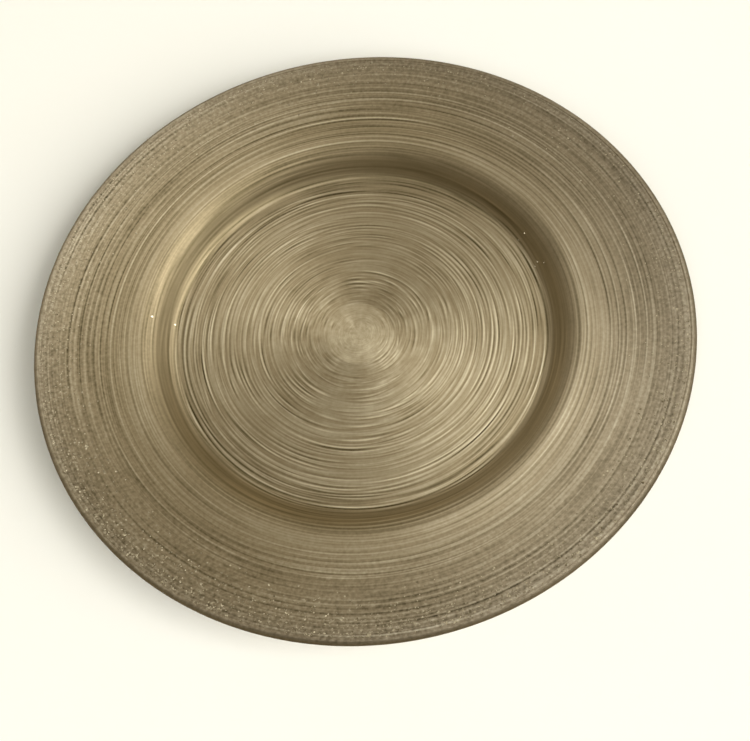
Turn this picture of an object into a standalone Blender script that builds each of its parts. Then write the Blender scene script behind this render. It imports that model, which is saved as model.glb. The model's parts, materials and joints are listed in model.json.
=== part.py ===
"""Round charger plate: a moulded plate, a brushed gold face, a glitter band round the rim, and foot pads.

Units are metres and +Z is up. The origin is the middle of the table plane that the pads stand on, and the
plate is turned about the Z axis.
"""

import math

import bmesh
import bpy
from mathutils import Matrix, Vector

# Driving sizes of the plate's upper face
PLATE_DIAMETER = 0.330
WELL_FLOOR_DIAMETER = 0.192
WELL_WALL_RUN = 0.0115
WELL_DEPTH = 0.0080
RIM_RISE = 0.0072
RIM_SAG = 0.0020
FLOOR_FILLET = 0.010
SHOULDER_RADIUS = 0.023
RIM_SWEEP_RADIUS = 0.150

# Walls, layers and the edge
BODY_WALL = 0.0022
FACE_LAYER = 0.0004
BEAD_WIDTH = 0.0030
BEAD_PROUD = 0.0003
BEAD_CREST_RADIUS = 0.0004
EDGE_ROUND = 0.0011
GLITTER_BAND_WIDTH = 0.018

# Foot ring and pads
FOOT_HEIGHT = 0.0020
FOOT_INSET = 0.0060
FOOT_DRAFT = 0.0006
FOOT_LAND_MARGIN = 0.0016
PAD_COUNT = 4
PAD_DIAMETER = 0.0100
PAD_THICKNESS = 0.0018
PAD_EDGE_ROUND = 0.0004
PAD_SEAT_DEPTH = 0.0008

# Clearances: the bond line under each stuck layer or pad, and the gap beside it
BOND_LINE = 0.0003
SIDE_CLEARANCE = 0.0003

# Facets
TURN_STEPS = 72
PAD_SEGMENTS = 24
PAD_EDGE_SEGMENTS = 2
SHARP_EDGE_ANGLE = math.radians(40)
ARC_STEPS = 4
WELD_DISTANCE = 0.00001
LONGEST_ARC_REACH = 0.48

# Sizes and heights that follow from the ones above
EDGE_RADIUS = PLATE_DIAMETER / 2
BEAD_INNER_RADIUS = EDGE_RADIUS - BEAD_WIDTH
BAND_OUTER_RADIUS = BEAD_INNER_RADIUS - SIDE_CLEARANCE
BAND_INNER_RADIUS = BAND_OUTER_RADIUS - GLITTER_BAND_WIDTH
FACE_OUTER_RADIUS = BAND_INNER_RADIUS - SIDE_CLEARANCE
LAYER_RECESS = FACE_LAYER + BOND_LINE
PLATE_THICKNESS = BODY_WALL + LAYER_RECESS
PAD_SEAT_CEILING = PAD_THICKNESS + BOND_LINE
FOOT_LAND_HEIGHT = PAD_SEAT_CEILING - PAD_SEAT_DEPTH
FLOOR_HEIGHT = FOOT_LAND_HEIGHT + FOOT_HEIGHT + PLATE_THICKNESS
PAD_SEAT_DIAMETER = PAD_DIAMETER + 2 * SIDE_CLEARANCE
FOOT_LAND_WIDTH = PAD_SEAT_DIAMETER + 2 * FOOT_LAND_MARGIN
FOOT_OUTER_RADIUS = WELL_FLOOR_DIAMETER / 2 - FOOT_INSET
FOOT_LAND_OUTER_RADIUS = FOOT_OUTER_RADIUS - FOOT_DRAFT
FOOT_LAND_INNER_RADIUS = FOOT_LAND_OUTER_RADIUS - FOOT_LAND_WIDTH
FOOT_INNER_RADIUS = FOOT_LAND_INNER_RADIUS - FOOT_DRAFT
PAD_CIRCLE_RADIUS = (FOOT_LAND_OUTER_RADIUS + FOOT_LAND_INNER_RADIUS) / 2


def rounded_path(corners, radii):
    """A path of (radius, height) points through corners, with an arc at each one between the two ends."""
    path = [corners[0]]
    for before, corner, after, radius in zip(corners, corners[1:], corners[2:], radii):
        back = before - corner
        ahead = after - corner
        turn = math.pi - back.angle(ahead)
        longest = LONGEST_ARC_REACH * min(back.length, ahead.length)
        reach = min(radius * math.tan(turn / 2), longest)
        back.normalize()
        ahead.normalize()
        start = corner + back * reach
        centre = corner + (back + ahead).normalized() * reach / math.sin(turn / 2)
        sweep = math.copysign(turn, ahead.cross(back))
        arm = start - centre
        path += [centre + Matrix.Rotation(sweep * i / ARC_STEPS, 2) @ arm for i in range(ARC_STEPS + 1)]
    return [*path, corners[-1]]


def point_at(path, radius):
    """The point of an outward path at one radius."""
    for a, b in zip(path, path[1:]):
        if a.x <= radius <= b.x:
            return a.lerp(b, (radius - a.x) / (b.x - a.x))
    raise ValueError(f"the path does not reach radius {radius}")


def stretch(path, inner, outer):
    """The stretch of an outward path from radius inner to radius outer."""
    between = [p for p in path if inner + WELD_DISTANCE < p.x < outer - WELD_DISTANCE]
    return [point_at(path, inner), *between, point_at(path, outer)]


def lowered(path, drop):
    return [p - Vector((0.0, drop)) for p in path]


def upper_face():
    """The plate's upper face, from the centre to the edge: floor, fillet, wall, shoulder and upswept rim."""
    mouth_radius = WELL_FLOOR_DIAMETER / 2 + WELL_WALL_RUN
    mouth_height = FLOOR_HEIGHT + WELL_DEPTH
    corners = [
        Vector((0.0, FLOOR_HEIGHT)),
        Vector((WELL_FLOOR_DIAMETER / 2, FLOOR_HEIGHT)),
        Vector((mouth_radius, mouth_height)),
        Vector(((mouth_radius + EDGE_RADIUS) / 2, mouth_height + RIM_RISE / 2 - RIM_SAG)),
        Vector((EDGE_RADIUS, mouth_height + RIM_RISE)),
    ]
    return rounded_path(corners, [FLOOR_FILLET, SHOULDER_RADIUS, RIM_SWEEP_RADIUS])


def collection_named(name):
    collection = bpy.data.collections.new(name)
    bpy.context.scene.collection.children.link(collection)
    return collection


def finish_material(name, colour, roughness, metallic):
    material = bpy.data.materials.new(name)
    material.use_nodes = True
    shader = material.node_tree.nodes["Principled BSDF"]
    shader.inputs["Base Color"].default_value = (*colour, 1.0)
    shader.inputs["Roughness"].default_value = roughness
    shader.inputs["Metallic"].default_value = metallic
    return material


def turned(name, profile, is_ring, material, collection):
    """A piece turned about Z. A ring's profile is a closed loop, and any other runs from axis to axis."""
    mesh = bpy.data.meshes.new(name)
    edges = [(i, i + 1) for i in range(len(profile) - 1)]
    if is_ring:
        edges.append((len(profile) - 1, 0))
    mesh.from_pydata([(p.x, 0.0, p.y) for p in profile], edges, [])
    mesh.materials.append(material)
    piece = bpy.data.objects.new(name, mesh)
    collection.objects.link(piece)
    screw = piece.modifiers.new("Turn about the axis", "SCREW")
    screw.steps = TURN_STEPS
    screw.render_steps = TURN_STEPS
    screw.use_merge_vertices = True
    screw.merge_threshold = WELD_DISTANCE
    screw.use_smooth_shade = True
    return piece


def disc(name, diameter, low, high):
    """A disc mesh about the Z axis, between two heights."""
    shape = bmesh.new()
    bmesh.ops.create_cone(
        shape,
        cap_ends=True,
        segments=PAD_SEGMENTS,
        radius1=diameter / 2,
        radius2=diameter / 2,
        depth=high - low,
        matrix=Matrix.Translation((0.0, 0.0, (low + high) / 2)),
    )
    mesh = bpy.data.meshes.new(name)
    shape.to_mesh(mesh)
    shape.free()
    mesh.shade_smooth()
    mesh.set_sharp_from_angle(angle=SHARP_EDGE_ANGLE)
    return mesh


def pad_places():
    """The pads' centres, spread evenly round the foot ring, none of them on the X or Y axis."""
    places = []
    for i in range(PAD_COUNT):
        angle = 2 * math.pi * (i + 0.5) / PAD_COUNT
        places.append((PAD_CIRCLE_RADIUS * math.cos(angle), PAD_CIRCLE_RADIUS * math.sin(angle), 0.0))
    return places


def plate_body_profile(face):
    """The moulding's section: layer recess, edge bead, underside and foot ring, from axis to axis."""
    recess = lowered(stretch(face, 0.0, BEAD_INNER_RADIUS), LAYER_RECESS)
    underside = lowered(face, PLATE_THICKNESS)
    floor_underside = FLOOR_HEIGHT - PLATE_THICKNESS
    edge_corners = [
        recess[-1],
        point_at(face, BEAD_INNER_RADIUS) + Vector((0.0, BEAD_PROUD)),
        face[-1] + Vector((0.0, BEAD_PROUD)),
        underside[-1],
        point_at(underside, BEAD_INNER_RADIUS),
    ]
    edge = rounded_path(edge_corners, [BEAD_CREST_RADIUS, EDGE_ROUND, EDGE_ROUND])
    under_rim = stretch(underside, FOOT_OUTER_RADIUS, BEAD_INNER_RADIUS)
    foot_ring = [
        Vector((FOOT_LAND_OUTER_RADIUS, FOOT_LAND_HEIGHT)),
        Vector((FOOT_LAND_INNER_RADIUS, FOOT_LAND_HEIGHT)),
        Vector((FOOT_INNER_RADIUS, floor_underside)),
        Vector((0.0, floor_underside)),
    ]
    return [*recess, *edge[1:-1], *reversed(under_rim), *foot_ring]


def add_plate_body(face, parts, cutters):
    """The moulded plate, with a round seat under its foot ring for each pad."""
    material = finish_material("moulded_base", (0.20, 0.16, 0.095), 0.50, 0.0)
    body = turned("plate_body", plate_body_profile(face), False, material, parts)
    seat_mesh = disc("pad_seat", PAD_SEAT_DIAMETER, 0.0, PAD_SEAT_CEILING)
    for number, place in enumerate(pad_places(), start=1):
        seat = bpy.data.objects.new(f"pad_seat_{number}", seat_mesh)
        seat.location = place
        seat.hide_render = True
        seat.display_type = "WIRE"
        cutters.objects.link(seat)
        cut = body.modifiers.new(f"Pad seat {number}", "BOOLEAN")
        cut.operation = "DIFFERENCE"
        cut.object = seat
    return body


def add_brushed_gold_face(face, parts):
    """The brushed gold layer, bonded in the recess from the centre to the glitter band."""
    material = finish_material("brushed_gold", (0.36, 0.28, 0.16), 0.42, 0.8)
    top = stretch(face, 0.0, FACE_OUTER_RADIUS)
    back = reversed(lowered(top, FACE_LAYER))
    return turned("brushed_gold_face", [*top, *back], False, material, parts)


def add_glitter_rim_band(face, parts):
    """The glitter layer, bonded in the recess between the brushed face and the edge bead."""
    material = finish_material("glitter_gold", (0.40, 0.32, 0.20), 0.55, 0.6)
    top = stretch(face, BAND_INNER_RADIUS, BAND_OUTER_RADIUS)
    back = reversed(lowered(top, FACE_LAYER))
    return turned("glitter_rim_band", [*top, *back], True, material, parts)


def add_foot_pads(parts):
    """The self-adhesive pads, each bonded in its seat, on which the plate stands."""
    pad_mesh = disc("foot_pad", PAD_DIAMETER, 0.0, PAD_THICKNESS)
    pad_mesh.materials.append(finish_material("pad_rubber", (0.045, 0.04, 0.035), 0.75, 0.0))
    pads = []
    for number, place in enumerate(pad_places(), start=1):
        pad = bpy.data.objects.new(f"foot_pad_{number}", pad_mesh)
        pad.location = place
        parts.objects.link(pad)
        rounding = pad.modifiers.new("Rounded edges", "BEVEL")
        rounding.width = PAD_EDGE_ROUND
        rounding.segments = PAD_EDGE_SEGMENTS
        rounding.limit_method = "ANGLE"
        pads.append(pad)
    return pads


def main():
    for old in list(bpy.data.objects):
        bpy.data.objects.remove(old, do_unlink=True)
    parts = collection_named("charger_plate")
    cutters = collection_named("charger_plate_cutters")
    datum = bpy.data.objects.new("table_datum", None)
    parts.objects.link(datum)
    face = upper_face()
    pieces = [
        add_plate_body(face, parts, cutters),
        add_brushed_gold_face(face, parts),
        add_glitter_rim_band(face, parts),
        *add_foot_pads(parts),
        *cutters.objects,
    ]
    for piece in pieces:
        piece.parent = datum


main()
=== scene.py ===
"""Looks of the brushed gold charger plate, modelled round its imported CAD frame.

Lengths are metres, +Z is up and the plate's axis is Z. Azimuth runs from +X, picture right, towards
+Y, the far side.
"""

import json
import math

import bmesh
import bpy
import numpy as np
from mathutils import Matrix, Vector

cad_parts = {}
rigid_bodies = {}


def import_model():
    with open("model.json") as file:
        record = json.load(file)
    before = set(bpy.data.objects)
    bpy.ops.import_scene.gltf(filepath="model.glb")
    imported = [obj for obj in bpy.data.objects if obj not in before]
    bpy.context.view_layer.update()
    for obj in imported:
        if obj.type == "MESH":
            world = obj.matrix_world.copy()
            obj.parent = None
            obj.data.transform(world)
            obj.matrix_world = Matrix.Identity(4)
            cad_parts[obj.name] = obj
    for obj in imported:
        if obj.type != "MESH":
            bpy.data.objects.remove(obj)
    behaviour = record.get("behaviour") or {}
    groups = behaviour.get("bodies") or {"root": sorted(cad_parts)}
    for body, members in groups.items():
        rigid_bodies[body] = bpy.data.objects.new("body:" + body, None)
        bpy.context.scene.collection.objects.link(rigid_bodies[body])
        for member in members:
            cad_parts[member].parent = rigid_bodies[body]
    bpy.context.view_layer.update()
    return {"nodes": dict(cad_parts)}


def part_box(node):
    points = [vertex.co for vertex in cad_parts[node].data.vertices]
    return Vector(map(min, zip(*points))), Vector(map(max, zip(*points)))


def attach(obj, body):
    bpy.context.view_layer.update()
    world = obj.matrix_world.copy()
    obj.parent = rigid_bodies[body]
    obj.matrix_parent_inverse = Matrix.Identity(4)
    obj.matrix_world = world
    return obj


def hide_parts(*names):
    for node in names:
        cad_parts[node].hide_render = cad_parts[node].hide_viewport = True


for leftover in list(bpy.data.objects):
    bpy.data.objects.remove(leftover)
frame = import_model()

MM = 0.001

# Where the face's zones lie, read from the frame
EDGE_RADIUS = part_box("plate_body")[1].x
FACE_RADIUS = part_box("brushed_gold_face")[1].x
BAND_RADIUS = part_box("glitter_rim_band")[1].x
JOIN_RADIUS = FACE_RADIUS + 0.14 * MM
BEAD_INNER_RADIUS = BAND_RADIUS + 0.3 * MM

# The section of the face's upper side, smoothed over the CAD's rings of corners
SECTION_STEP = 0.1 * MM
SECTION_BLUR = 1.0 * MM
SECTION_BLUR_REACH = 3 * SECTION_BLUR
SECTION_PAST_EDGE = 10 * MM
RING_DIGITS = 5

# The lacquer layer, and the turned pieces that it is made in
LAYER = 0.4 * MM
MIDDLE_PIECE_RADIUS = 48 * MM
FLOOR_PIECE_RADIUS = 96.5 * MM
WALL_PIECE_RADIUS = 121 * MM
FLOOR_RING_STEP, FLOOR_SEGMENTS = 0.205 * MM, 384
RIM_RING_STEP, RIM_SEGMENTS = 0.16 * MM, 576
BAND_RING_STEP, BAND_SEGMENTS = 0.3 * MM, 1280
UNDER_RINGS = 14
TURN_DOUBLINGS = 4
MERGE_DISTANCE = 0.002 * MM
SHARP_ANGLE = math.radians(50)

# The moulded plate under the lacquer
BODY_SEGMENTS = 288
RECESS, RECESS_STEP = 0.7 * MM, 4 * MM
THINNEST_BODY = 2 * MM
SEAT_MARGIN = 1.0 * MM
UNDERSIDE_STEP = 2.0 * MM
CLOSEST_RINGS = 0.1 * MM
BEAD_DEPTH = 2.0 * MM
# Across the rolled edge, in millimetres: how far each point lies in from the edge, and how far above
# the run of the face
ROLLED_EDGE = [(3.0, 0.02), (2.85, 0.16), (2.6, 0.24), (2.2, 0.23), (1.7, 0.12), (1.2, -0.08),
               (0.7, -0.43), (0.3, -0.89), (0.07, -1.43), (0.0, -1.9)]

# Foot pads, and the paper that they stand on. It clears their soles by a hair, so that the two don't
# share a plane
PAD_COUNT = 4
PAD_SEGMENTS = 64
PAD_ROUNDING, PAD_ROUNDING_SEGMENTS = 0.5 * MM, 5
PAPER_HALF_SIDE, PAPER_SQUARES = 4.0, 8
FLOOR_DROP = 0.03 * MM

# The lacquer at radii in millimetres, from the centre outwards: how strong its brushed lines are, how
# pale it is, how rough, how grainy it dries, and how grey the glitter in it makes it. How pale it is is
# partly painted light: painted shade on the well's wall and on the rolled outer edge, and painted
# highlights on the well's shoulder and along the bead's crest. A side leans some of them one way
BRUSHING = [(0, 0.0), (3, 0.4), (6, 0.75), (16, 0.85), (20, 1.0), (40, 1.0), (60, 0.82), (75, 0.75),
            (85, 1.0), (94, 1.0), (98, 0.35), (101, 0.4), (105, 0.75), (112, 0.65), (120, 0.75),
            (128, 0.95), (138, 0.95), (144, 0.75), (149, 0.5), (153, 0.5), (157, 0.6), (163, 0.62),
            (165, 0.4)]
PALING_AND_PAINTED_LIGHT = [(0, 0.59), (16, 0.57), (20, 0.51), (70, 0.52), (84, 0.50), (89, 0.45), (95, 0.33),
          (100, 0.27), (105, 0.33), (110, 0.35), (112.5, 0.47), (114.5, 0.48), (118, 0.43), (124, 0.42),
          (132, 0.40), (146, 0.39), (158, 0.39), (161, 0.41), (162.3, 0.47), (163, 0.46), (163.7, 0.28),
          (165, 0.17)]
# Painted light: at the radii below, the lacquer is painted paler towards this side, standing in for light
# that falls more brightly there
PAINTED_LIGHT_SIDE = Vector((0.26, -0.97, 0.0))
SIDE_PAINTED_LIGHT = [(0, 0.0), (20, 0.04), (76, 0.04), (84, 0.07), (92, 0.07), (98, 0.0), (112, 0.03),
               (124, 0.03), (140, 0.0), (165, 0.0)]
ROUGHNESS = [(0, 0.60), (12, 0.60), (18, 0.62), (92, 0.62), (96, 0.48), (106, 0.48), (110, 0.53),
             (117, 0.57), (124, 0.61), (165, 0.62)]
GRAININESS = [(0, 0.35), (6, 0.25), (15, 0.14), (94, 0.14), (98, 0.05), (103, 0.05), (108, 0.2),
              (120, 0.26), (132, 0.4), (145, 0.54), (156, 0.76), (162, 0.86), (163.3, 0.6), (164, 0.25),
              (165, 0.15)]
GRAINIER_SIDE = Vector((-0.15, -0.15, 0.0))
DULLING = [(0, 0.0), (125, 0.0), (147, 0.3), (156, 0.5), (165, 0.95)]
# Painted light: towards this side the lacquer is painted greyer, standing in for bluer light falling from
# there
PAINTED_COOL_LIGHT_SIDE = Vector((0.85, -0.53, 0.0))
SIDE_PAINTED_COOL_LIGHT = [(0, 0.0), (92, 0.0), (98, 0.35), (112, 0.4), (125, 0.55), (165, 0.5)]

# How far the brushing gives the lacquer a direction. The middle of the floor, inside these radii, turns
# too slowly under the brush to take one
BRUSHED, HALF_BRUSHED, UNBRUSHED = 0.64, 0.3, 0.0
HALF_BRUSHED_RADIUS, UNBRUSHED_RADIUS = 17.0 * MM, 7.0 * MM
ACROSS_THE_LINES = 0.25

# Patterns in the lacquer. A bristle's own line, about 0.1 mm wide, and a grain of glitter, about 0.2 mm,
# are too fine to show at half a millimetre to the pixel, so the finest lines are drawn 0.7 mm wide and
# the grain 1.7 mm
FINE_LINES = {"pitch": 0.7 * MM, "arc": 2.2, "detail": 1.5}
BROAD_LINES = {"pitch": 3.0 * MM, "arc": 1.1, "detail": 2.0}
PIGMENT_CLOUDS = {"pitch": 11 * MM, "arc": 2.6, "detail": 2.0}
BROAD_SHARE = 0.45
GRAIN_WIDTH = 1.7 * MM
NOISE_MIDDLE = 0.5
# How far they show in its tone, which runs from dark to pale, and in its relief and roughness
LINE_TONE, PIGMENT_TONE, GRAIN_TONE, CLOUD_TONE = 0.55, 0.21, 0.8, 0.4
GRAIN_RELIEF = 0.6
RELIEF_DEPTH = 0.13 * MM
LINE_ROUGHNESS = -0.2
# Colours from dark to pale tone. The palest are also whiter, which paints the whitish sheen of highlights
# where the tone is painted pale
GOLD_TONES = [(0.0, "#4A3F28"), (0.14, "#6C5F43"), (0.42, "#998868"), (0.58, "#A99A7B"),
              (0.86, "#CFC1A2")]
DULL_TONES = [(0.0, "#4C4333"), (0.14, "#6D624D"), (0.42, "#978971"), (0.58, "#A79B83"),
              (0.86, "#CFC3AB")]

# Patterns in the other materials. The grain of silicone, about 0.05 mm, is too fine to show and is drawn
# 0.5 mm wide. A cell of foil is drawn as wide as a flake, so that each flake has a tone of its own
FOIL_CELL = 1.1 * MM
LACQUERED_FOIL = {"roughness": 0.6, "darkest": "#6E6149", "lightest": "#C0B395"}
CLEAN_FOIL = {"roughness": 0.45, "darkest": "#CFC4A9", "lightest": "#DED3B8"}
PEEL_WIDTH, PEEL_DEPTH = 1.1 * MM, 0.08 * MM
SPRAY_DRIFT = 34 * MM
SPRAY_THIN, SPRAY_THICK = 0.3, 0.7
SPRAY_TONES = [(SPRAY_THIN, "#86744F"), (0.5, "#988660"), (SPRAY_THICK, "#A8976F")]
SILICONE_GRAIN, SILICONE_GRAIN_DEPTH = 0.5 * MM, 0.05 * MM
SILICONE_TONES = [(0.3, "#4A4640"), (0.6, "#5C574F"), (0.78, "#7A746A")]
PAPER_CLOUD = 180 * MM
PAPER_TONES = [(0.3, "#FCFBF4"), (0.7, "#FDFCF6")]

# Bunches that the brushed lines come in, on the floor and on the rim, and how each line differs from its
# bunch. A reach is in degrees to each side
BRUSH_SEED = 11
RELIEF_STEP = 0.1 * MM
RELIEF_COLUMNS = 720
LINE_WIDTH = (0.28 * MM, 0.56 * MM)
LINE_EXTENT = 4
DEEPEST_LINE = 0.041 * MM
UNEVEN_PITCH = 0.12
UNEVEN_REACH = (0.5, 1.3)
STAGGER = 0.2
FLOOR_BUNCHES = {"count": 370, "radii": (10 * MM, 96 * MM), "lines": (2, 8),
                 "pitch": (1.4 * MM, 2.8 * MM), "depth": (0.008 * MM, DEEPEST_LINE),
                 "reach": (12, 42), "drift": 0.4 * MM}
RIM_BUNCHES = {"count": 120, "radii": (102 * MM, 161 * MM), "lines": (3, 9),
               "pitch": (2.4 * MM, 3.6 * MM), "depth": (0.006 * MM, 0.031 * MM),
               "reach": (30, 100), "drift": 0.6 * MM}

# Glitter in the lacquer of the rim. Real flakes are about 0.2 mm wide, too fine to show, so they are
# drawn larger: a size is from a flake's middle to its corner, and its thickness is a share of its width
# from corner to corner
GRAIN_SEED = 5
GRAIN_HEIGHT = 0.004 * MM
FLAKE_SEED = 7
FLAKE_COUNT = 2800
FLAKE_TRIES = 8
FLAKE_BATCH = 60
FLAKE_SIDES = 4
FLAKE_SIZE = (0.30 * MM, 0.68 * MM)
FLAKE_THICKNESS, FLAKE_TAPER = 0.06, 0.9
FLAKE_TILT = math.radians(4)
FLAKE_START, FLAKE_FULL = 132 * MM, 162 * MM
FLAKE_SHARE, FLAKE_LEAN = 0.55, 1.6
# Stray flakes on the well's wall: radius in millimetres, azimuth in degrees, and size in millimetres
DULL_STRAYS = [(98.8, 7.0, 0.7), (96.8, 6.2, 0.5), (101.0, 5.5, 0.5), (101.0, 17.0, 0.7),
               (97.2, 16.8, 0.45)]
BRIGHT_STRAYS = [(96.2, 160.0, 0.7), (107.2, 159.5, 0.75)]

# Lights: a soft key that only gloss shows, and two that only matt surfaces show, as when each is
# polarised. The side light draws the paper's soft shadow
KEY = {"bearing": Vector((0.335, 0.185, 0.925)), "size": 6.0, "power": 1112.0, "colour": "#F2F8FF"}
SIDE = {"bearing": Vector((0.56, -0.52, 0.48)), "size": 10.0, "power": 2090.0, "colour": "#FFFEFA"}
FRONT = {"bearing": Vector((-0.20, -0.55, 0.81)), "size": 7.0, "power": 500.0, "colour": "#EAF4FF"}
LIGHT_DISTANCE = 12.0
# The room is brightest near the horizon: its strength at the sine of the elevation. It is pale where the
# camera looks at it
ROOM_STRENGTH = [(0.0, 1.0), (0.25, 0.8), (0.45, 0.16), (1.0, 0.15)]
ROOM_COLOUR, SEEN_ROOM_COLOUR = "#FFEAB2", "#FFFDF2"

# Camera, fitted to the rim and well outlines of the photograph. Lens and sensor are in millimetres
CAMERA_LENS, CAMERA_SENSOR = 60.0, 36.0
CAMERA_TILT = math.radians(24.7358)
CAMERA_ROLL = math.radians(-15.1241)
RIM_FROM_CAMERA = Vector((13.027, 55.474, -622.213)) * MM
CAMERA_SHIFT = (0.06, 0.08)
CAMERA_NEAREST = 0.01


def linear(hex_colour):
    """An sRGB hex colour as the linear RGBA that shaders take."""
    channels = [int(hex_colour[i:i + 2], 16) / 255 for i in (1, 3, 5)]
    return (*(c / 12.92 if c <= 0.04045 else ((c + 0.055) / 1.055) ** 2.4 for c in channels), 1.0)


def node(tree, kind, links=None, stops=(), **settings):
    """Adds a node: settings are its properties, links feed its inputs from other nodes' first outputs,
    from sockets or from plain values, and stops are the positions along a ramp with the hex colour or
    grey at each."""
    made = tree.nodes.new(kind)
    for name, value in settings.items():
        setattr(made, name, value)
    for name, source in (links or {}).items():
        if isinstance(source, bpy.types.Node):
            source = source.outputs[0]
        if isinstance(source, bpy.types.NodeSocket):
            tree.links.new(source, made.inputs[name])
        else:
            made.inputs[name].default_value = source
    for number, (position, colour) in enumerate(stops):
        elements = made.color_ramp.elements
        stop = elements[number] if number < len(elements) else elements.new(position)
        stop.position = position
        stop.color = linear(colour) if isinstance(colour, str) else (colour, colour, colour, 1.0)
    return made


def new_material(name):
    """A material without nodes, its tree, and the place on the piece that its patterns read."""
    material = bpy.data.materials.new(name)
    material.use_nodes = True
    tree = material.node_tree
    tree.nodes.clear()
    return material, tree, node(tree, "ShaderNodeTexCoord").outputs["Object"]


def by_radius(tree, outwards, table):
    """A value that follows a table of (radius in millimetres, value) from the centre to the edge."""
    stops = [(radius * MM / EDGE_RADIUS, value) for radius, value in table]
    return node(tree, "ShaderNodeValToRGB", {"Fac": outwards}, stops)


def brushed_lines(tree, radius, bearing, pitch, arc, detail):
    """Noise drawn out into lines round the axis, about pitch wide and a few to the circle for each unit
    of arc."""
    spread = node(tree, "ShaderNodeVectorMath", {0: bearing, "Scale": arc}, operation="SCALE")
    lines = node(tree, "ShaderNodeMath", {0: radius, 1: 1 / pitch}, operation="MULTIPLY")
    rise = node(tree, "ShaderNodeCombineXYZ", {"Z": lines})
    where = node(tree, "ShaderNodeVectorMath", {0: spread, 1: rise})
    return node(tree, "ShaderNodeTexNoise", {
        "Vector": where, "Scale": 1.0, "Detail": detail, "Roughness": 0.6})


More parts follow.
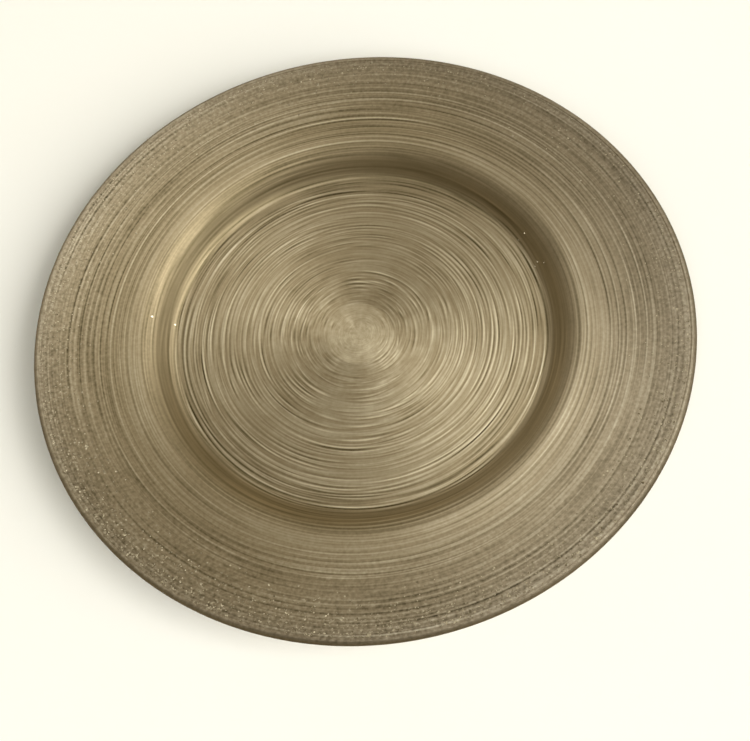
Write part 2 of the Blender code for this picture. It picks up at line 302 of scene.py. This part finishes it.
def gold_lacquer(name, direction=BRUSHED):
    """Gold lacquer on moulded plastic, brushed while the plate turns. The bristles leave fine lines round
    the axis, so highlights fan out along the radius, and pigment gathers in the grooves and thins on the
    ridges. The glitter stirred into it gathers towards the edge, where it dries grainy and greyer,
    grainier to one side. Its paleness by radius is partly painted shade and painted highlights, and it is
    painted paler to one side and greyer to another, standing in for how the light falls there."""
    material, tree, place = new_material(name)
    flat = node(tree, "ShaderNodeVectorMath", {0: place, 1: (1, 1, 0)}, operation="MULTIPLY")
    radius = node(tree, "ShaderNodeVectorMath", {0: flat}, operation="LENGTH").outputs["Value"]
    bearing = node(tree, "ShaderNodeVectorMath", {0: flat}, operation="NORMALIZE")
    outwards = node(tree, "ShaderNodeMath", {0: radius, 1: 1 / EDGE_RADIUS}, operation="MULTIPLY")
    grainier, painted_light_side, painted_cool_side = (
        node(tree, "ShaderNodeVectorMath", {0: bearing, 1: side},
             operation="DOT_PRODUCT").outputs["Value"]
        for side in (GRAINIER_SIDE, PAINTED_LIGHT_SIDE, PAINTED_COOL_LIGHT_SIDE))

    brushing = by_radius(tree, outwards, BRUSHING)
    fine = brushed_lines(tree, radius, bearing, **FINE_LINES)
    broad = brushed_lines(tree, radius, bearing, **BROAD_LINES)
    # A Mix node has sockets for each kind of value: 2 and 3 take numbers, 6 and 7 colours
    mixed = node(tree, "ShaderNodeMix", {0: BROAD_SHARE, 2: fine, 3: broad}, data_type="FLOAT")
    lines = node(tree, "ShaderNodeMath", {0: mixed, 1: NOISE_MIDDLE}, operation="SUBTRACT")
    ridges = node(tree, "ShaderNodeMath", {0: lines, 1: brushing}, operation="MULTIPLY")

    grain = node(tree, "ShaderNodeTexNoise", {
        "Vector": place, "Scale": 1 / GRAIN_WIDTH, "Detail": 1.0, "Roughness": 0.5})
    speck = node(tree, "ShaderNodeMath", {0: grain, 1: NOISE_MIDDLE}, operation="SUBTRACT")
    even = by_radius(tree, outwards, GRAININESS)
    amount = node(tree, "ShaderNodeMath", {0: even, 1: grainier, 2: even}, operation="MULTIPLY_ADD")
    grains = node(tree, "ShaderNodeMath", {0: speck, 1: amount}, operation="MULTIPLY")

    cloud = brushed_lines(tree, radius, bearing, **PIGMENT_CLOUDS)
    cloudy = node(tree, "ShaderNodeMath", {0: cloud, 1: NOISE_MIDDLE}, operation="SUBTRACT")
    clouds = node(tree, "ShaderNodeMath", {0: cloudy, 1: brushing}, operation="MULTIPLY")

    pigment = node(tree, "ShaderNodeAttribute", attribute_name="pigment").outputs["Fac"]
    tone = node(tree, "ShaderNodeMath", {0: ridges, 1: LINE_TONE}, operation="MULTIPLY")
    for pattern, share in ((pigment, PIGMENT_TONE), (grains, GRAIN_TONE), (clouds, CLOUD_TONE),
                           (painted_light_side, by_radius(tree, outwards, SIDE_PAINTED_LIGHT))):
        tone = node(tree, "ShaderNodeMath", {
            0: pattern, 1: share, 2: tone}, operation="MULTIPLY_ADD")
    # Paleness by radius: partly the lacquer's own tone, partly painted shade and painted highlights on
    # the well's wall, shoulder and edge
    tone = node(tree, "ShaderNodeMath", {
        0: tone, 1: by_radius(tree, outwards, PALING_AND_PAINTED_LIGHT)}, operation="ADD")
    gold = node(tree, "ShaderNodeValToRGB", {"Fac": tone}, GOLD_TONES)
    dull = node(tree, "ShaderNodeValToRGB", {"Fac": tone}, DULL_TONES)
    # Greyer towards the edge where the glitter dulls it, and painted greyer to one side for bluer light
    painted_cool_light = node(tree, "ShaderNodeMath", {0: painted_cool_side, 1: 0.0}, operation="MAXIMUM")
    dulling_and_painted_cool_light = node(tree, "ShaderNodeMath", {
        0: painted_cool_light, 1: by_radius(tree, outwards, SIDE_PAINTED_COOL_LIGHT), 2: by_radius(tree, outwards, DULLING)},
        operation="MULTIPLY_ADD")
    colour = node(tree, "ShaderNodeMix", {0: dulling_and_painted_cool_light, 6: gold, 7: dull}, data_type="RGBA")

    rough = node(tree, "ShaderNodeMath", {
        0: lines, 1: LINE_ROUGHNESS, 2: by_radius(tree, outwards, ROUGHNESS)},
        operation="MULTIPLY_ADD")
    height = node(tree, "ShaderNodeMath", {
        0: grains, 1: GRAIN_RELIEF, 2: ridges}, operation="MULTIPLY_ADD")
    relief = node(tree, "ShaderNodeBump", {
        "Height": height, "Strength": 1.0, "Distance": RELIEF_DEPTH})
    turn = node(tree, "ShaderNodeTangent", direction_type="RADIAL", axis="Z")
    shader = node(tree, "ShaderNodeBsdfPrincipled", {
        "Base Color": colour.outputs[2], "Metallic": 1.0, "Roughness": rough, "Normal": relief,
        "Anisotropic": direction, "Anisotropic Rotation": ACROSS_THE_LINES, "Tangent": turn})
    node(tree, "ShaderNodeOutputMaterial", {"Surface": shader})
    return material


def glitter_foil(name, roughness, darkest, lightest):
    """Cut polyester foil, vacuum coated with aluminium under a gold dye: small mirrors that each flash
    one way. The lacquer dulls those that lie in it, and strays that dried on top of it stay clean and
    bright."""
    material, tree, place = new_material(name)
    cell = node(tree, "ShaderNodeTexVoronoi", {"Vector": place, "Scale": 1 / FOIL_CELL})
    value = node(tree, "ShaderNodeSeparateColor", {"Color": cell.outputs["Color"]})
    colour = node(tree, "ShaderNodeValToRGB", {"Fac": value.outputs["Red"]}, [
        (0.0, darkest), (1.0, lightest)])
    shader = node(tree, "ShaderNodeBsdfPrincipled", {
        "Base Color": colour, "Metallic": 1.0, "Roughness": roughness})
    node(tree, "ShaderNodeOutputMaterial", {"Surface": shader})
    return material


def sprayed_bronze_plastic():
    """Moulded polypropylene sprayed with satin bronze paint. The spray leaves a faint orange peel and
    drifts of paler pigment, which are a little glossier."""
    material, tree, place = new_material("satin bronze sprayed plastic")
    peel = node(tree, "ShaderNodeTexNoise", {
        "Vector": place, "Scale": 1 / PEEL_WIDTH, "Detail": 2.0, "Roughness": 0.5})
    drift = node(tree, "ShaderNodeTexNoise", {
        "Vector": place, "Scale": 1 / SPRAY_DRIFT, "Detail": 4.0, "Roughness": 0.6})
    colour = node(tree, "ShaderNodeValToRGB", {"Fac": drift}, SPRAY_TONES)
    rough = node(tree, "ShaderNodeMapRange", {
        "Value": drift, "From Min": SPRAY_THIN, "From Max": SPRAY_THICK,
        "To Min": 0.5, "To Max": 0.38})
    relief = node(tree, "ShaderNodeBump", {"Height": peel, "Strength": 0.35, "Distance": PEEL_DEPTH})
    shader = node(tree, "ShaderNodeBsdfPrincipled", {
        "Base Color": colour, "Metallic": 0.85, "Roughness": rough, "Normal": relief})
    node(tree, "ShaderNodeOutputMaterial", {"Surface": shader})
    return material


def pad_silicone():
    """Moulded silicone rubber: a soft dull grey with a fine matt grain and a few paler dust specks."""
    material, tree, place = new_material("moulded silicone rubber")
    grain = node(tree, "ShaderNodeTexNoise", {
        "Vector": place, "Scale": 1 / SILICONE_GRAIN, "Detail": 3.0, "Roughness": 0.6})
    colour = node(tree, "ShaderNodeValToRGB", {"Fac": grain}, SILICONE_TONES)
    relief = node(tree, "ShaderNodeBump", {
        "Height": grain, "Strength": 0.5, "Distance": SILICONE_GRAIN_DEPTH})
    shader = node(tree, "ShaderNodeBsdfPrincipled", {
        "Base Color": colour, "Roughness": 0.62, "IOR": 1.42, "Normal": relief})
    node(tree, "ShaderNodeOutputMaterial", {"Surface": shader})
    return material


def ivory_paper():
    """Smooth uncoated ivory paper laid flat under the plate: matt, with a barely uneven tone."""
    material, tree, place = new_material("ivory backdrop paper")
    cloud = node(tree, "ShaderNodeTexNoise", {
        "Vector": place, "Scale": 1 / PAPER_CLOUD, "Detail": 2.0, "Roughness": 0.5})
    colour = node(tree, "ShaderNodeValToRGB", {"Fac": cloud}, PAPER_TONES)
    shader = node(tree, "ShaderNodeBsdfPrincipled", {
        "Base Color": colour, "Roughness": 0.9, "Specular IOR Level": 0.1})
    node(tree, "ShaderNodeOutputMaterial", {"Surface": shader})
    return material


def corner_rings(name, pick):
    """Radius and height of each ring of corners of a turned CAD node, pick choosing among heights at one
    radius."""
    corners = np.array([v.co for v in frame["nodes"][name].data.vertices])
    radii = np.hypot(corners[:, 0], corners[:, 1]).round(RING_DIGITS)
    rings = np.unique(radii)
    return rings, np.array([pick(corners[radii == ring, 2]) for ring in rings])


def face_section():
    """Radii and smoothed heights of the face's upper side, from the axis to just past the rim."""
    face = corner_rings("brushed_gold_face", np.max)
    band = corner_rings("glitter_rim_band", np.max)
    radii = np.concatenate([face[0], band[0]])
    heights = np.concatenate([face[1], band[1]])
    slope = (heights[-1] - heights[-2]) / (radii[-1] - radii[-2])
    past = EDGE_RADIUS + SECTION_PAST_EDGE
    heights = np.append(heights, heights[-1] + slope * (past - radii[-1]))
    radii = np.append(radii, past)
    samples = np.arange(0, past, SECTION_STEP)
    reach = np.arange(-SECTION_BLUR_REACH, SECTION_BLUR_REACH, SECTION_STEP)
    weights = np.exp(-0.5 * (reach / SECTION_BLUR) ** 2)
    spread = np.interp(np.abs(samples[:, None] + reach), radii, heights)
    return samples, spread @ weights / weights.sum()


SECTION = face_section()


def face_height(radius):
    """Height of the face's upper side, before its brushed lines."""
    return np.interp(radius, *SECTION)


CAMERA_TURN = Matrix.Rotation(CAMERA_TILT, 3, "X") @ Matrix.Rotation(CAMERA_ROLL, 3, "Z")
CAMERA_PLACE = Vector((0, 0, face_height(EDGE_RADIUS))) - CAMERA_TURN @ RIM_FROM_CAMERA


def brush_relief():
    """Table of the brushed lines' height over the face: a row for each radius step, a column for each
    half degree. Each line is a groove with a ridge beside it."""
    rng = np.random.default_rng(BRUSH_SEED)
    radii = np.arange(0, EDGE_RADIUS, RELIEF_STEP)
    table = np.zeros((len(radii), RELIEF_COLUMNS))
    for zone in (FLOOR_BUNCHES, RIM_BUNCHES):
        for _ in range(zone["count"]):
            nearest, farthest = zone["radii"]
            first = math.sqrt(rng.uniform(nearest ** 2, farthest ** 2))
            azimuth, bunch_reach = rng.uniform(0, 360), rng.uniform(*zone["reach"])
            pitch, side = rng.uniform(*zone["pitch"]), rng.choice((-1, 1))
            for line in range(rng.integers(*zone["lines"])):
                radius = first + (line + rng.normal(0, UNEVEN_PITCH)) * pitch
                width, height = rng.uniform(*LINE_WIDTH), side * rng.uniform(*zone["depth"])
                reach = bunch_reach * rng.uniform(*UNEVEN_REACH)
                drift = rng.normal(0, zone["drift"])
                half = int(reach * RELIEF_COLUMNS / 360)
                steps = np.arange(-half, half + 1)
                middle = azimuth + rng.normal(0, STAGGER) * bunch_reach
                columns = (int(middle * RELIEF_COLUMNS / 360) + steps) % RELIEF_COLUMNS
                rows = np.flatnonzero(np.abs(radii - radius) < LINE_EXTENT * width + abs(drift))
                across = (radii[rows, None] - radius - drift * steps / half) / width
                fade = np.cos(steps / half * math.pi / 2) ** 2
                groove = height * across * np.exp((1 - across ** 2) / 2)
                table[np.ix_(rows, columns)] += groove * fade
    zones, strengths = np.array(BRUSHING).T
    return table * np.interp(radii, zones * MM, strengths)[:, None]


RELIEF = brush_relief()
# Just short of the last row, so that there is always a row beyond
RELIEF_LAST_ROW = len(RELIEF) - 1.001


def relief_at(radius, azimuth):
    """The relief table read between its rows and columns."""
    row = np.clip(radius / RELIEF_STEP, 0, RELIEF_LAST_ROW)
    column = azimuth % (2 * math.pi) / (2 * math.pi) * RELIEF_COLUMNS
    row0, column0 = row.astype(int), column.astype(int) % RELIEF_COLUMNS
    column1 = (column0 + 1) % RELIEF_COLUMNS
    across, along = row - row0, column - column.astype(int)
    inner = RELIEF[row0, column0] * (1 - along) + RELIEF[row0, column1] * along
    outer = RELIEF[row0 + 1, column0] * (1 - along) + RELIEF[row0 + 1, column1] * along
    return inner * (1 - across) + outer * across


def turned(profile, segments, ring):
    """A closed solid of revolution from (radius, height) points. A ring's profile closes on itself, and
    another starts and ends on the axis. One sector is spun, then doubled until it goes all the way
    round."""
    shape = bmesh.new()
    points = [shape.verts.new((radius, 0, height)) for radius, height in profile]
    sides = [shape.edges.new(pair) for pair in zip(points, points[1:])]
    if ring:
        sides.append(shape.edges.new((points[-1], points[0])))
    angle = 2 * math.pi / 2 ** TURN_DOUBLINGS
    bmesh.ops.spin(shape, geom=points + sides, cent=(0, 0, 0), axis=(0, 0, 1), angle=angle,
                   steps=segments // 2 ** TURN_DOUBLINGS)
    for _ in range(TURN_DOUBLINGS):
        everything = shape.verts[:] + shape.edges[:] + shape.faces[:]
        copy = bmesh.ops.duplicate(shape, geom=everything)["geom"]
        corners = [part for part in copy if isinstance(part, bmesh.types.BMVert)]
        bmesh.ops.rotate(shape, verts=corners, cent=(0, 0, 0), matrix=Matrix.Rotation(angle, 3, "Z"))
        angle *= 2
    bmesh.ops.remove_doubles(shape, verts=shape.verts, dist=MERGE_DISTANCE)
    bmesh.ops.recalc_face_normals(shape, faces=shape.faces)
    return shape


def meshed(name, shape):
    """The bmesh as a named mesh."""
    mesh = bpy.data.meshes.new(name)
    shape.to_mesh(mesh)
    shape.free()
    return mesh


def finished(mesh, slot, node_name, *materials):
    """Makes the mesh a piece that rides on the plate, with smooth faces and crisp corners. It stands for
    the CAD node that is named, or adds to the plate where none is."""
    mesh.shade_smooth()
    mesh.set_sharp_from_angle(angle=SHARP_ANGLE)
    for material in materials:
        mesh.materials.append(material)
    piece = bpy.data.objects.new(mesh.name, mesh)
    bpy.context.scene.collection.objects.link(piece)
    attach(piece, "root")
    if node_name:
        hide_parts(node_name)


def face_ring(name, inner, outer, step, segments, grain=0.0):
    """A closed turned slice of the face layer between two radii, with brushed lines and grain on its
    upper side. Its pigment attribute follows the lines."""
    radii = np.linspace(inner, outer, round((outer - inner) / step) + 1)
    under = np.linspace(outer, inner, UNDER_RINGS)
    profile = [(r, face_height(r)) for r in radii] + [(r, face_height(r) - LAYER) for r in under]
    mesh = meshed(name, turned(profile, segments, ring=inner > 0))
    spots = np.empty(3 * len(mesh.vertices), np.float32)
    mesh.vertices.foreach_get("co", spots)
    x, y, z = spots[0::3], spots[1::3], spots[2::3]
    radius, azimuth = np.hypot(x, y), np.arctan2(y, x)
    upper = z > face_height(radius) - LAYER / 2
    lines = np.where(upper, relief_at(radius, azimuth), 0)
    rng = np.random.default_rng(GRAIN_SEED)
    zones, amounts = np.array(GRAININESS).T
    heights = grain * np.interp(radius, zones * MM, amounts) * rng.normal(0, 1, len(z))
    spots[2::3] = z + lines + np.where(upper, heights, 0)
    mesh.vertices.foreach_set("co", spots)
    pigment = mesh.attributes.new("pigment", "FLOAT", "POINT")
    pigment.data.foreach_set("value", (lines / DEEPEST_LINE).astype(np.float32))
    return mesh


def moulding():
    """The moulded plate under the lacquer: the recess that holds it, the edge bead, and the underside
    with its foot. The bead's faces take the second material."""
    edge_height = face_height(EDGE_RADIUS)
    edge = EDGE_RADIUS - np.array(ROLLED_EDGE)[:, 0] * MM
    bead = list(zip(edge, face_height(edge) + np.array(ROLLED_EDGE)[:, 1] * MM))
    recess = [(r, face_height(r) - RECESS) for r in np.arange(0, BAND_RADIUS, RECESS_STEP)]
    pad_low, pad_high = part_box("foot_pad_1")
    pad_circle = (pad_low + pad_high).xy.length / 2
    seat_reach = (pad_high - pad_low).x / 2 + SEAT_MARGIN
    rings, lows = corner_rings("plate_body", np.min)
    depths = face_height(rings) - lows
    under = (depths > THINNEST_BODY) & (np.abs(rings - pad_circle) > seat_reach)
    radii = np.union1d(rings[under], np.arange(0, rings[under].max(), UNDERSIDE_STEP))
    radii = radii[np.append(True, np.diff(radii) > CLOSEST_RINGS)]
    below = list(zip(radii, face_height(radii) - np.interp(radii, rings[under], depths[under])))
    bead_foot = (bead[0][0], face_height(bead[0][0]) - RECESS)
    profile = recess + [bead_foot] + bead + below[::-1]
    shape = turned(profile, BODY_SEGMENTS, ring=False)
    for face in shape.faces:
        middle = face.calc_center_median()
        on_bead = middle.xy.length > BAND_RADIUS and middle.z > edge_height - BEAD_DEPTH
        face.material_index = int(on_bead)
    return meshed("plate_moulding", shape)


def flake_mesh(name, places):
    """Square cut flakes, each scaled, turned and set down by its place."""
    shape = bmesh.new()
    for first in range(0, len(places), FLAKE_BATCH):
        batch = bmesh.new()
        for place in places[first:first + FLAKE_BATCH]:
            bmesh.ops.create_cone(batch, cap_ends=True, segments=FLAKE_SIDES, radius1=1.0,
                                  radius2=FLAKE_TAPER, depth=FLAKE_THICKNESS * 2, matrix=place)
        shape.from_mesh(meshed("flake_batch", batch))
    return meshed(name, shape)


def on_face(radius, azimuth):
    """The point on the brushed face at a radius and azimuth."""
    height = face_height(radius) + relief_at(np.array([radius]), np.array([azimuth]))[0]
    return Vector((radius * math.cos(azimuth), radius * math.sin(azimuth), height))


def lacquered_flakes():
    """Flakes lying in the lacquer of the rim, more of them towards the edge and to its grainier side."""
    rng = np.random.default_rng(FLAKE_SEED)
    radius = np.sqrt(rng.uniform(FLAKE_START ** 2, BAND_RADIUS ** 2, FLAKE_TRIES * FLAKE_COUNT))
    azimuths = rng.uniform(0, 2 * math.pi, len(radius))
    likely = np.clip((radius - FLAKE_START) / (FLAKE_FULL - FLAKE_START), 0, 1) ** 2
    lean = GRAINIER_SIDE.x * np.cos(azimuths) + GRAINIER_SIDE.y * np.sin(azimuths)
    likely *= FLAKE_SHARE + FLAKE_LEAN * lean
    taken = np.flatnonzero(rng.uniform(size=len(radius)) < likely)[:FLAKE_COUNT]
    places = []
    for r, azimuth in zip(radius[taken], azimuths[taken]):
        spin = rng.uniform(0, math.pi)
        slope = math.atan2(face_height(r + SECTION_STEP) - face_height(r), SECTION_STEP)
        turn = (Matrix.Rotation(azimuth, 4, "Z")
                @ Matrix.Rotation(rng.normal(-slope, FLAKE_TILT), 4, "Y")
                @ Matrix.Rotation(rng.normal(0, FLAKE_TILT), 4, "X")
                @ Matrix.Rotation(spin, 4, "Z"))
        size = Matrix.Scale(rng.uniform(*FLAKE_SIZE), 4)
        places.append(Matrix.Translation(on_face(r, azimuth)) @ turn @ size)
    return flake_mesh("glitter_flakes", places)


def stray_flakes(name, strays):
    """Flakes that lie on the well's wall, each turned so that it shows the key to the camera."""
    places = []
    for radius, azimuth, size in strays:
        spot = on_face(radius * MM, math.radians(azimuth))
        between = (CAMERA_PLACE - spot).normalized() + KEY["bearing"].normalized()
        turn = between.to_track_quat("Z", "Y").to_matrix().to_4x4()
        places.append(Matrix.Translation(spot) @ turn @ Matrix.Scale(size * MM, 4))
    return flake_mesh(name, places)


def pad_disc(name):
    """One foot pad: a low disc with a rounded lower edge."""
    low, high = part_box(name)
    middle, radius = (low + high) / 2, (high.x - low.x) / 2
    shape = bmesh.new()
    bmesh.ops.create_cone(shape, cap_ends=True, segments=PAD_SEGMENTS, radius1=radius, radius2=radius,
                          depth=high.z - low.z, matrix=Matrix.Translation(middle))
    rim = [e for e in shape.edges if all(v.co.z < middle.z for v in e.verts)]
    bmesh.ops.bevel(shape, geom=rim, offset=PAD_ROUNDING, segments=PAD_ROUNDING_SEGMENTS,
                    profile=0.5, affect="EDGES", material=-1)
    return meshed(name.replace("pad", "pad_disc"), shape)


def soft_light(name, bearing, size, power, colour):
    """A square lamp that faces the plate from its bearing."""
    light = bpy.data.lights.new(name, "AREA")
    light.energy, light.size, light.color = power, size, linear(colour)[:3]
    lamp = bpy.data.objects.new(name, light)
    lamp.location = bearing.normalized() * LIGHT_DISTANCE
    lamp.rotation_euler = bearing.to_track_quat("Z", "Y").to_euler()
    bpy.context.scene.collection.objects.link(lamp)
    return lamp


brushed_gold = gold_lacquer("brushed gold lacquer")
glitter_gold = gold_lacquer("glitter gold lacquer")
well_middle = face_ring(
    "brushed_well_middle", 0, MIDDLE_PIECE_RADIUS, FLOOR_RING_STEP, FLOOR_SEGMENTS)
for face in well_middle.polygons:
    face.material_index = sum(
        face.center.xy.length < radius for radius in (HALF_BRUSHED_RADIUS, UNBRUSHED_RADIUS))
finished(well_middle, "brushed_gold", "brushed_gold_face", brushed_gold,
         gold_lacquer("lightly brushed gold lacquer", HALF_BRUSHED),
         gold_lacquer("flowed gold lacquer", UNBRUSHED))
for name, inner, outer, step, segments in (
        ("brushed_well_floor", MIDDLE_PIECE_RADIUS, FLOOR_PIECE_RADIUS, FLOOR_RING_STEP, FLOOR_SEGMENTS),
        ("brushed_well_wall", FLOOR_PIECE_RADIUS, WALL_PIECE_RADIUS, RIM_RING_STEP, RIM_SEGMENTS),
        ("brushed_rim", WALL_PIECE_RADIUS, JOIN_RADIUS, RIM_RING_STEP, RIM_SEGMENTS)):
    ring = face_ring(name, inner, outer, step, segments)
    finished(ring, "brushed_gold", "brushed_gold_face", brushed_gold)
glitter_band = face_ring(
    "glitter_band", JOIN_RADIUS, BEAD_INNER_RADIUS, BAND_RING_STEP, BAND_SEGMENTS, GRAIN_HEIGHT)
finished(glitter_band, "glitter_gold", "glitter_rim_band", glitter_gold)
lacquered_foil = glitter_foil("lacquered gold glitter foil", **LACQUERED_FOIL)
clean_foil = glitter_foil("clean gold glitter foil", **CLEAN_FOIL)
finished(lacquered_flakes(), "glitter_gold", None, lacquered_foil)
finished(stray_flakes("dull_stray_flakes", DULL_STRAYS), "glitter_gold", None, lacquered_foil)
finished(stray_flakes("bright_stray_flakes", BRIGHT_STRAYS), "glitter_gold", None, clean_foil)
finished(moulding(), "moulded_base", "plate_body", sprayed_bronze_plastic(), glitter_gold)
silicone = pad_silicone()
for number in range(1, PAD_COUNT + 1):
    finished(pad_disc(f"foot_pad_{number}"), "pad_rubber", f"foot_pad_{number}", silicone)

paper = bmesh.new()
bmesh.ops.create_grid(paper, x_segments=PAPER_SQUARES, y_segments=PAPER_SQUARES, size=PAPER_HALF_SIDE)
bmesh.ops.translate(paper, verts=paper.verts, vec=(0, 0, -FLOOR_DROP))
floor_mesh = meshed("backdrop_floor", paper)
floor_mesh.materials.append(ivory_paper())
floor = bpy.data.objects.new("backdrop_floor", floor_mesh)
bpy.context.scene.collection.objects.link(floor)

soft_light("soft key", **KEY).visible_diffuse = False
soft_light("side light", **SIDE).visible_glossy = False
soft_light("front light", **FRONT).visible_glossy = False

world = bpy.data.worlds.new("studio room")
world.use_nodes = True
room = world.node_tree
room.nodes.clear()
gaze = node(room, "ShaderNodeTexCoord").outputs["Generated"]
upwards = node(room, "ShaderNodeSeparateXYZ", {"Vector": gaze}).outputs["Z"]
strength = node(room, "ShaderNodeValToRGB", {"Fac": upwards}, ROOM_STRENGTH)
glow = node(room, "ShaderNodeBackground", {"Color": linear(ROOM_COLOUR), "Strength": strength})
pale = node(room, "ShaderNodeBackground", {"Color": linear(SEEN_ROOM_COLOUR)})
seen = node(room, "ShaderNodeLightPath").outputs["Is Camera Ray"]
shown = node(room, "ShaderNodeMixShader", {0: seen, 1: glow, 2: pale})
node(room, "ShaderNodeOutputWorld", {"Surface": shown})
bpy.context.scene.world = world

camera_data = bpy.data.cameras.new("photograph camera")
camera_data.lens, camera_data.sensor_width = CAMERA_LENS, CAMERA_SENSOR
camera_data.shift_x, camera_data.shift_y = CAMERA_SHIFT
camera_data.clip_start = CAMERA_NEAREST
camera = bpy.data.objects.new("photograph camera", camera_data)
camera.location, camera.rotation_euler = CAMERA_PLACE, CAMERA_TURN.to_euler()
bpy.context.scene.collection.objects.link(camera)
bpy.context.scene.camera = camera
bpy.context.scene.view_settings.view_transform = "Standard"
